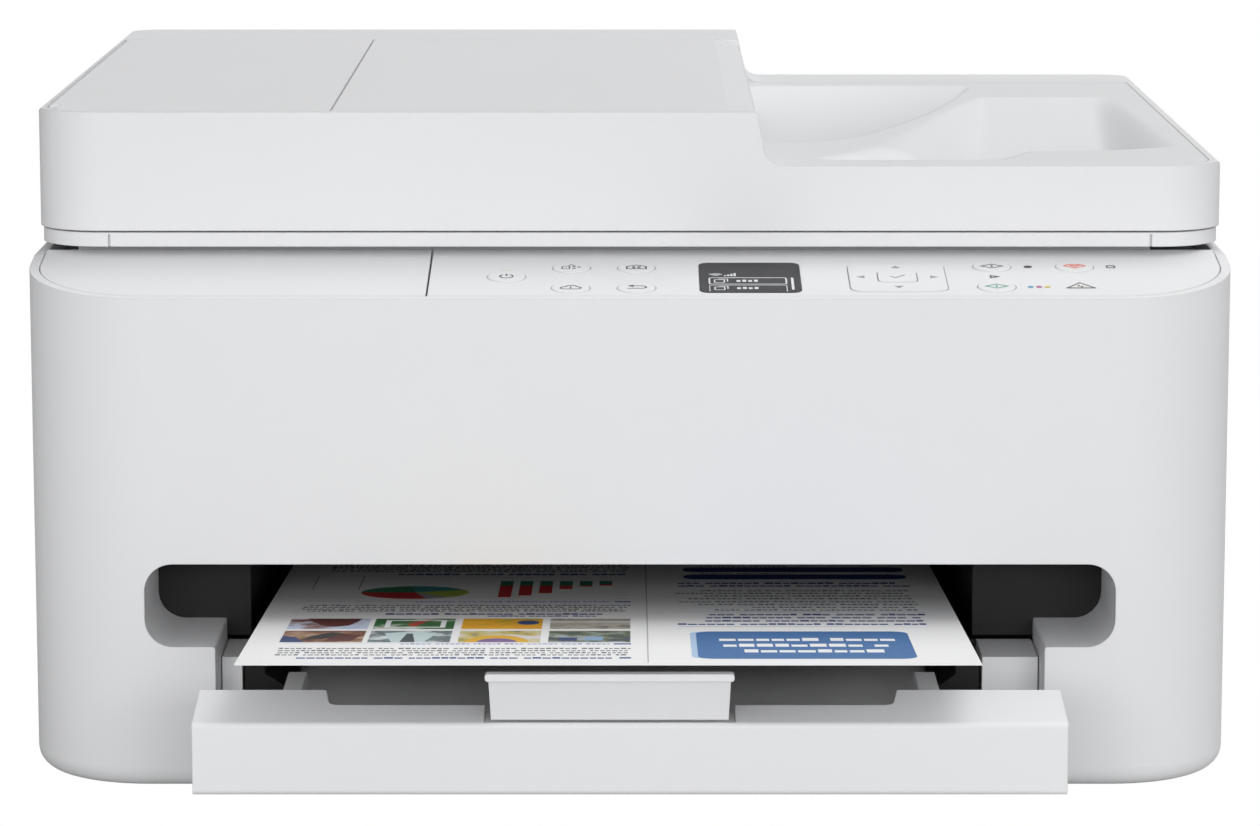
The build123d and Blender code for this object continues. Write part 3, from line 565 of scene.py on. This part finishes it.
def make_deck_marks():
    for button, (finish, middle, symbol) in BUTTONS.items():
        deck_print(button + "_symbol", [(finish, moved(symbol, *middle))], CAP, button)
    make_pad_marks()
    # plain symbols in place of words: drops for black and colour, a square for stop
    sign, spark = warning_symbol()
    shapes = [(mark_grey, disc((124.5, 35.1), 1.3))]
    for x, name, color in ((123.6, "dot_cyan", (0.1, 0.4, 0.55)), (126.2, "dot_magenta", (0.5, 0.1, 0.3)),
                           (128.8, "dot_yellow", (0.7, 0.55, 0.1))):
        shapes.append((ink(name, color), disc((x, 12.2), 0.95)))
    arrow = stroke([(-1.1, -1.3), (1.3, 0), (-1.1, 1.3)], THIN_LINE, True)
    shapes.append((mark_grey, moved(arrow, 113.2, 23.8)))
    shapes.append((mark_grey, stroke(rounded(149.2, 33.9, 151.6, 36.3, 0.4), THIN_LINE, True)))
    shapes.append((mark_grey, moved(sign, 139.1, 13.2)))
    shapes.append((mark_grey, moved(spark, 139.1, 13.2)))
    deck_print("deck_symbols", shapes, PLATE, "printer_body")


def make_pad_marks():
    """Four arrows around a tick."""
    arrows = []
    for i in range(4):
        turn = math.radians(90 * i)
        c, s = math.cos(turn), math.sin(turn)
        outward = [(x, y + PAD_ARROW_REACH) for x, y in ((-1.5, -1.2), (1.5, -1.2), (0, 1.3))]
        arrows.append([(x * c - y * s, x * s + y * c) for x, y in outward])
    deck_print("nav_pad_arrows", [(mark_outline, moved(arrows, *PAD_CENTRE))], CAP, "nav_pad")
    tick = stroke([(-2.2, 0.1), (-0.6, -1.5), (2.4, 1.7)], 0.6)
    deck_print("ok_button_tick", [(mark_outline, moved(tick, *PAD_CENTRE))], OK_CAP, "ok_button")


def make_screen():
    """What the display shows: signal bars, a radio wave, two menu rows and a scroll bar."""
    left, right = 24.6, 48.4
    split, bottom = 13.9, 7.0
    drawn = []
    for i in range(4):
        drawn.append(rectangle(29.2 + i, 24.2, 29.9 + i, 25.2 + i * 0.8))
    for radius in (1.0, 1.9, 2.8):
        drawn.append(stroke(arc((26.6, 24.2), radius, 45, 135, 8), THIN_LINE))
    drawn.append(stroke(rounded(left, 15.2, right, 22.4, 0.9), 0.5, True))
    drawn.append(stroke([(left, split), (right, split)], HAIR_LINE))
    drawn.append(stroke([(left, split), (left, bottom)], HAIR_LINE))
    drawn.append(stroke([(right, split), (right, bottom)], HAIR_LINE))
    for row in (18.8, 10.6):
        drawn.append(stroke(rounded(26.2, row - 1.9, 29.2, row + 1.4, 0.3), FINE_LINE, True))
        drawn.append(stroke([(27.4, row + 2.2), (30.2, row + 2.2), (30.2, row - 0.8)], FINE_LINE))
        for letter in range(4):
            start = 33.0 + letter * 1.8
            drawn.append(rectangle(start, row - 1.0, start + 1.2, row + 0.9 + 0.4 * (letter % 2)))
    drawn.append(stroke([(50.3, 9.0), (50.3, 22.4)], 0.8))
    shapes = [(screen_white, polygons) for polygons in drawn]
    printed("display_picture", shapes, on_deck, PLATE, PLATE + SCREEN_INK, "printer_body")


# ------------------------------------------------------------------ printed page

PAGE_LOW, PAGE_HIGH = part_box("printed_page")
PAGE_MID = (PAGE_LOW[0] + PAGE_HIGH[0]) / 2
PAGE_SLOPE = math.radians(4.5)

# in millimetres
LAYER = 0.02                    # printed inks are laid in three of these
TEXT = 2.2                      # heights of the lines of print
SMALL_TEXT = 1.9
SUBHEADING = 2.4
HEADING = 3.4
BANNER = 6.2
COLUMN_LEFT = -97               # the left column
COLUMN_END = 6.6
RIGHT_START = 21                # and the right one
RIGHT_END = 98


def on_page(u, v, lift):
    """A point over the page: u from its middle, v from its leading edge, in millimetres."""
    inward = (v * math.cos(PAGE_SLOPE) + lift * math.sin(PAGE_SLOPE)) * MM
    down = (v * math.sin(PAGE_SLOPE) - lift * math.cos(PAGE_SLOPE)) * MM
    return (PAGE_MID + u * MM, PAGE_LOW[1] + inward, PAGE_HIGH[2] - down)


def page_inks():
    """The inks by short names, each with the layer that it is laid in."""
    return {
        "text": (0, ink("page_text_grey", (0.06, 0.06, 0.07))),
        "navy": (0, ink("page_navy", (0.015, 0.04, 0.22))),
        "red": (0, ink("page_red", (0.55, 0.02, 0.02))),
        "green": (0, ink("page_green", (0.03, 0.22, 0.12))),
        "teal": (0, ink("page_teal", (0.05, 0.28, 0.3))),
        "lime": (0, ink("page_lime", (0.42, 0.5, 0.06))),
        "line": (0, ink("page_line_grey", (0.4, 0.4, 0.42))),
        "violet": (0, ink("page_violet", (0.2, 0.22, 0.5))),
        "earth": (0, picture("picture_earth", [(0.03, 0.02, 0.02), (0.2, 0.07, 0.03), (0.45, 0.3, 0.2)], 90)),
        "frost": (0, picture("picture_frost", [(0.2, 0.3, 0.3), (0.1, 0.12, 0.13), (0.7, 0.8, 0.8)], 110)),
        "petal": (0, picture("picture_petal", [(0.08, 0.06, 0.2), (0.6, 0.5, 0.1), (0.75, 0.7, 0.75)], 90)),
        "lake": (0, picture("picture_lake", [(0.02, 0.04, 0.12), (0.12, 0.15, 0.05), (0.4, 0.45, 0.5)], 120)),
        "sky": (0, picture("picture_sky", [(0.4, 0.5, 0.7), (0.6, 0.65, 0.8), (0.2, 0.06, 0.03)], 60)),
        "leaf": (0, picture("picture_leaf", [(0.02, 0.12, 0.03), (0.03, 0.16, 0.04), (0.7, 0.7, 0.65)], 55)),
        "sun": (0, picture("picture_sun", [(0.8, 0.5, 0.02), (0.8, 0.35, 0.01), (0.3, 0.4, 0.03)], 60)),
        "stone": (0, picture("picture_stone", [(0.18, 0.17, 0.14), (0.45, 0.43, 0.38), (0.3, 0.28, 0.22)],
                             130)),
        "pale_blue": (0, ink("page_pale_blue", (0.42, 0.58, 0.78))),
        "blue": (1, ink("page_blue", (0.03, 0.14, 0.37))),
        "white": (2, ink("page_white", (0.88, 0.89, 0.9), 0.02)),
        "maroon": (1, ink("page_maroon", (0.09, 0.015, 0.01))),
        "crimson": (2, ink("page_crimson", (0.5, 0.05, 0.03))),
        "yellow": (1, ink("page_yellow", (0.75, 0.42, 0.01))),
        "deep_blue": (2, ink("page_deep_blue", (0.02, 0.05, 0.16))),
        "ice": (1, ink("page_ice", (0.55, 0.68, 0.7), 0.05)),
        "slate": (2, ink("page_slate", (0.05, 0.07, 0.08))),
        "plum": (2, ink("page_plum", (0.2, 0.12, 0.32))),
        "light_blue": (1, ink("page_sky", (0.25, 0.4, 0.6))),
        "soot": (2, ink("page_soot", (0.02, 0.018, 0.016))),
    }


class Artwork:
    """Collects what is printed on the page, as (ink's short name, polygons) pairs."""

    def __init__(self):
        self.shapes = []
        self.rng = random.Random(7)

    def add(self, name, polygons):
        self.shapes.append((name, polygons))

    def box(self, name, left, low, right, high):
        self.add(name, rectangle(left, low, right, high))

    def words(self, name, left, right, v, size, bold=False):
        """A line of plain blocks, spaced like words."""
        u = left
        gap = size * (0.12 if bold else 0.2)
        narrow, wide = (0.55, 0.85) if bold else (0.4, 0.75)
        while u < right - size:
            for _ in range(self.rng.randint(3, 10)):
                width = size * self.rng.uniform(narrow, wide)
                if u + width > right:
                    return
                tall = size * self.rng.choice((0.75, 0.75, 1.05))
                self.box(name, u, v - size / 2, u + width, v - size / 2 + tall)
                u += width + gap
            u += size * 0.45


def draw_left_text(art):
    """Headings, rules and lines of text, from the leading edge back."""
    art.box("navy", 3.2, 12.8, COLUMN_END, 15.8)
    art.words("navy", -91, 1.5, 14.2, 3.2, True)
    for v in (20.8, 25.4, 30.0, 34.8):
        art.words("text", -98.5 + art.rng.uniform(0, 2), COLUMN_END, v, TEXT)
    for v in (44.8, 145.5):
        art.box("navy", 1.5, v - 1.2, COLUMN_END, v + 1.2)
        art.words("violet", -62, 0.5, v, SMALL_TEXT)
        art.box("violet", COLUMN_LEFT, v + 1.7, COLUMN_END, v + 2.0)
    art.words("navy", -70, -2, 115, HEADING, True)
    art.words("navy", -38, -4, 110, SUBHEADING, True)
    for v in (122.6, 127.2, 131.8, 136.4):
        art.words("text", COLUMN_LEFT + art.rng.uniform(0, 3), COLUMN_END, v, TEXT)
    art.words("navy", -71, 5.8, 219, HEADING, True)
    for v in (228, 233, 238, 243, 248):
        art.words("text", -94, COLUMN_END, v, TEXT)


def draw_pictures(art):
    """Two rows of four small pictures with plain shapes over them."""
    columns = ((-98.4, -73.8), (-72.2, -47.6), (-45.2, -20.6), (-18.2, 6.4))
    near, far = ("earth", "frost", "petal", "lake"), ("sky", "leaf", "sun", "stone")
    for (left, right), front, back in zip(columns, near, far):
        art.box(front, left, 48.6, right, 74.8)
        art.box(back, left, 79, right, 103.6)
    art.add("maroon", [[(-93.5, 103.6), (-91.5, 96), (-88, 87), (-84, 84), (-80, 87), (-77.5, 96),
                        (-76.5, 103.6)]])
    art.add("crimson", [[(-63, 92), (-61.5, 92), (-53, 100), (-54.5, 100)]])
    art.add("white", stroke([(-68, 83), (-51, 83), (-51, 99), (-68, 99)], 1.6, True))
    art.add("crimson", [[(-62, 87), (-59.5, 85), (-56, 97), (-58.6, 98)]])
    art.add("yellow", [arc((-38.6, 103.6), (6.5, 8.5), 180, 360, 14)])
    art.add("deep_blue", disc((-25, 94), (3.4, 5), 18))
    art.box("white", -18.2, 95, 6.4, 96.4)
    art.add("deep_blue", [[(-98.4, 48.6), (-91, 48.6), (-94.5, 60), (-98.4, 63)]])
    art.add("maroon", [[(-85, 52), (-77.5, 51), (-74.8, 64), (-82.6, 70)]])
    art.add("soot", [[(-92, 54), (-86, 56), (-80, 68), (-84, 71), (-90, 62)]])
    art.add("ice", [[(-65, 48.6), (-55.5, 48.6), (-52, 69), (-60, 73), (-68, 69)]])
    art.add("slate", [[(-62.6, 48.6), (-58, 48.6), (-59.4, 68), (-61.2, 68)]])
    art.add("yellow", [arc((-33.6, 48.6), (9.6, 15.5), 0, 180, 16)])
    art.add("plum", [arc((-33.6, 48.6), (6.0, 8.5), 0, 180, 14)])
    art.box("deep_blue", -15, 51.5, -9.6, 59)
    art.box("light_blue", -7.2, 52.5, -1.8, 61)


def draw_pie(art, centre, radius):
    for name, start, end in (("red", 180, 285), ("line", 285, 312), ("lime", 312, 385), ("teal", 25, 95),
                             ("green", 95, 180)):
        art.add(name, [[centre] + arc(centre, radius, start, end, 14)])
    inner = (radius[0] * 0.55, radius[1] * 0.55)
    art.add("text", stroke(arc(centre, inner, 185, 280), FINE_LINE))


def draw_charts(art):
    """A pie, a bar chart in two colours and a small table."""
    draw_pie(art, (-63.3, 170), (17.4, 16.6))
    for i, low in enumerate((158, 162.3, 168.3, 179, 185.8, 188.8)):
        left = -36.2 + i * 6.5
        right = left + 4.2
        middle = max(low + 3, 188.5)
        art.box("red", left, low, right, middle)
        art.box("green", left, middle, right, 201)
    for i in range(6):
        art.box("line", 2.4, 155 + i * 8, COLUMN_END, 155.5 + i * 8)
    left, right = COLUMN_LEFT, -82
    art.add("line", stroke([(left, 178), (right, 178), (right, 214), (left, 214)], THIN_LINE, True))
    for v in (190, 202):
        art.add("line", stroke([(left, v), (right, v)], 0.3))


def draw_right_column(art):
    """A line between the columns, a blue panel, headings, text and two bars."""
    art.box("line", 11.4, 4.5, 11.75, 262)
    art.add("pale_blue", [rounded(24.4, 13.2, 33, 72.6, 4)])
    art.add("blue", [rounded(26.2, 12.2, 90.2, 73.2, 5)])
    for v, left, right in ((29, 40, 84), (41.5, 34, 87), (54.5, 33, 89)):
        art.words("white", left, right, v, BANNER, True)
    for v, left in ((90.5, 21), (98.4, 29.5), (106.2, 30), (113.6, 31)):
        art.words("navy", left, 99, v, HEADING, True)
    for v in (84.6, 120):
        art.box("line", RIGHT_START, v, 72, v + 0.4)
    for v, left in ((125, 33), (131.6, 45), (138.7, 28), (145.7, 22), (153.6, 25), (160.8, 30), (167.9, 21),
                    (174.5, 29)):
        art.words("text", left, RIGHT_END, v, 2.3)
    for v in (187.6, 194.6):
        art.words("navy", 22, RIGHT_END, v, HEADING, True)
    for v in (212.5, 232.5):
        art.add("navy", [rounded(24, v - 6.5, RIGHT_END, v + 6.5, 5)])
        art.words("text", 30, 60, v + 9, 2.0)


def make_page_print():
    """The page's print, one mesh for each layer of ink."""
    art = Artwork()
    draw_left_text(art)
    draw_pictures(art)
    draw_charts(art)
    draw_right_column(art)
    inks = page_inks()
    for level in range(3):
        chosen = [(inks[name][1], polygons) for name, polygons in art.shapes if inks[name][0] == level]
        printed(f"page_print_{level}", chosen, on_page, level * LAYER, (level + 1) * LAYER, "printed_page")


# ------------------------------------------------------------------ output dish

DISH_LOW, DISH_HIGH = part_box("output_dish")

# in millimetres, y from the front face
DISH_STEP = 1.0                 # grid spacing
DISH_CORNER = 16.0              # its front right corner follows the lid's
POCKET_DEPTH = 15.0
POCKET_LOSS = 0.72              # share of that depth lost over its width
POCKET_LEFT, POCKET_WIDTH = 46, 80
POCKET_FRONT, POCKET_BACK = 118, 312.6
POCKET_SLOPE = 75               # its floor levels out this far from its back
POCKET_EDGE = [(43.6, 119), (65, 124), (77, 139), (90, 171), (103, 209), (115, 258), (126, 313)]
SCOOP_DEPTH = 14.4
SCOOP_FRONT, SCOOP_BACK = 66.5, 270
SCOOP_SLOPE = 165               # its floor levels out this far from its back
SCOOP_RIGHT = 178.8
SCOOP_TAPER = 4.6               # its right edge leans in by this much over
TAPER_START, TAPER_LENGTH = 109, 160
# from the left, its front edge steps back, then bends back
LEDGE_START, LEDGE_WIDTH, LEDGE_DEPTH = 116, 16, 26
BEND_START, BEND_WIDTH, BEND_DEPTH = 140, 38, 14
RIDGE_EDGE = [(50, 62), (68, 86), (80, 108), (90, 145), (101, 187), (112, 228), (124, 268)]


def blend_in(t):
    """Goes smoothly from 0 to 1."""
    t = max(0.0, min(1.0, t))
    return t * t * (3 - 2 * t)


def edge_at(path, y):
    """x at y on a path of (x, y) points."""
    if y <= path[0][1]:
        return path[0][0]
    for (x0, y0), (x1, y1) in zip(path, path[1:]):
        if y <= y1:
            return x0 + (x1 - x0) * (y - y0) / (y1 - y0)
    return path[-1][0]


def pocket_depth(x, y):
    """The pocket on the left, where sheets land: deepest at its front, shallower to the right."""
    inside = edge_at(POCKET_EDGE, y) - x
    back = POCKET_BACK - y
    if inside <= 0 or back <= 0 or y <= POCKET_FRONT:
        return 0.0
    floor = POCKET_DEPTH * (1 - POCKET_LOSS * blend_in((x - POCKET_LEFT) / POCKET_WIDTH))
    slope = 1 - (1 - min(1.0, back / POCKET_SLOPE)) ** 2.4
    return floor * slope * blend_in(inside / 1.8) * blend_in((y - POCKET_FRONT) / 3)


def scoop_depth(x, y):
    """The scoop on the right, for fingers: it falls towards the front and stops at a curved ledge."""
    inside = x - edge_at(RIDGE_EDGE, y)
    if inside <= 0 or y >= SCOOP_BACK:
        return 0.0
    towards_front = min(1.0, (SCOOP_BACK - y) / SCOOP_SLOPE)
    right = SCOOP_RIGHT - SCOOP_TAPER * max(0.0, (y - TAPER_START) / TAPER_LENGTH)
    front = SCOOP_FRONT + LEDGE_DEPTH * blend_in((x - LEDGE_START) / LEDGE_WIDTH)
    front += BEND_DEPTH * (max(0.0, x - BEND_START) / BEND_WIDTH) ** 2
    fall = SCOOP_DEPTH * (1 - (1 - towards_front) ** 1.7)
    sides = blend_in(inside / (4 + 34 * towards_front)) * blend_in((right - x) / (8 + 15 * towards_front))
    ends = blend_in((SCOOP_BACK - y) / 3) * blend_in((y - front) / 7)
    return fall * sides * ends


def make_dish():
    """The dish as one smooth surface over a closed block, in the space of its CAD solid."""
    low_x, high_x = DISH_LOW[0] / MM, DISH_HIGH[0] / MM
    low_y, high_y = (DISH_LOW[1] - FRONT) / MM, (DISH_HIGH[1] - FRONT) / MM
    across = round((high_x - low_x) / DISH_STEP)
    deep = round((high_y - low_y) / DISH_STEP)
    points, faces = [], []
    for j in range(deep + 1):
        y = low_y + (high_y - low_y) * j / deep
        into_corner = max(0.0, low_y + DISH_CORNER - y)
        right = high_x - DISH_CORNER + math.sqrt(DISH_CORNER ** 2 - into_corner ** 2)
        for i in range(across + 1):
            x = low_x + (right - low_x) * i / across
            depth = max(pocket_depth(x, y), scoop_depth(x, y))
            points.append((x * MM, FRONT + y * MM, DISH_HIGH[2] - depth * MM))
    row = across + 1
    for j in range(deep):
        for i in range(across):
            a = j * row + i
            faces.append((a, a + 1, a + row + 1, a + row))
    # the walls below the grid's rim, and the bottom
    rim = list(range(row)) + [j * row + across for j in range(1, deep + 1)]
    rim += [deep * row + i for i in range(across - 1, -1, -1)] + [j * row for j in range(deep - 1, 0, -1)]
    start, count = len(points), len(rim)
    for index in rim:
        points.append((points[index][0], points[index][1], DISH_LOW[2]))
    for k in range(count):
        following = (k + 1) % count
        faces.append((rim[following], rim[k], start + k, start + following))
    faces.append([start + k for k in reversed(range(count))])
    dish = link_mesh("output_dish_surface", points, faces)
    for polygon in dish.data.polygons[:across * deep]:
        polygon.use_smooth = True
    dish.data.materials.append(finishes["dish_white"])
    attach(dish, "document_cover")
    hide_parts("output_dish")


make_camera()
make_floor()
make_light()
paint_frame()
make_deck_marks()
make_screen()
make_page_print()
make_dish()
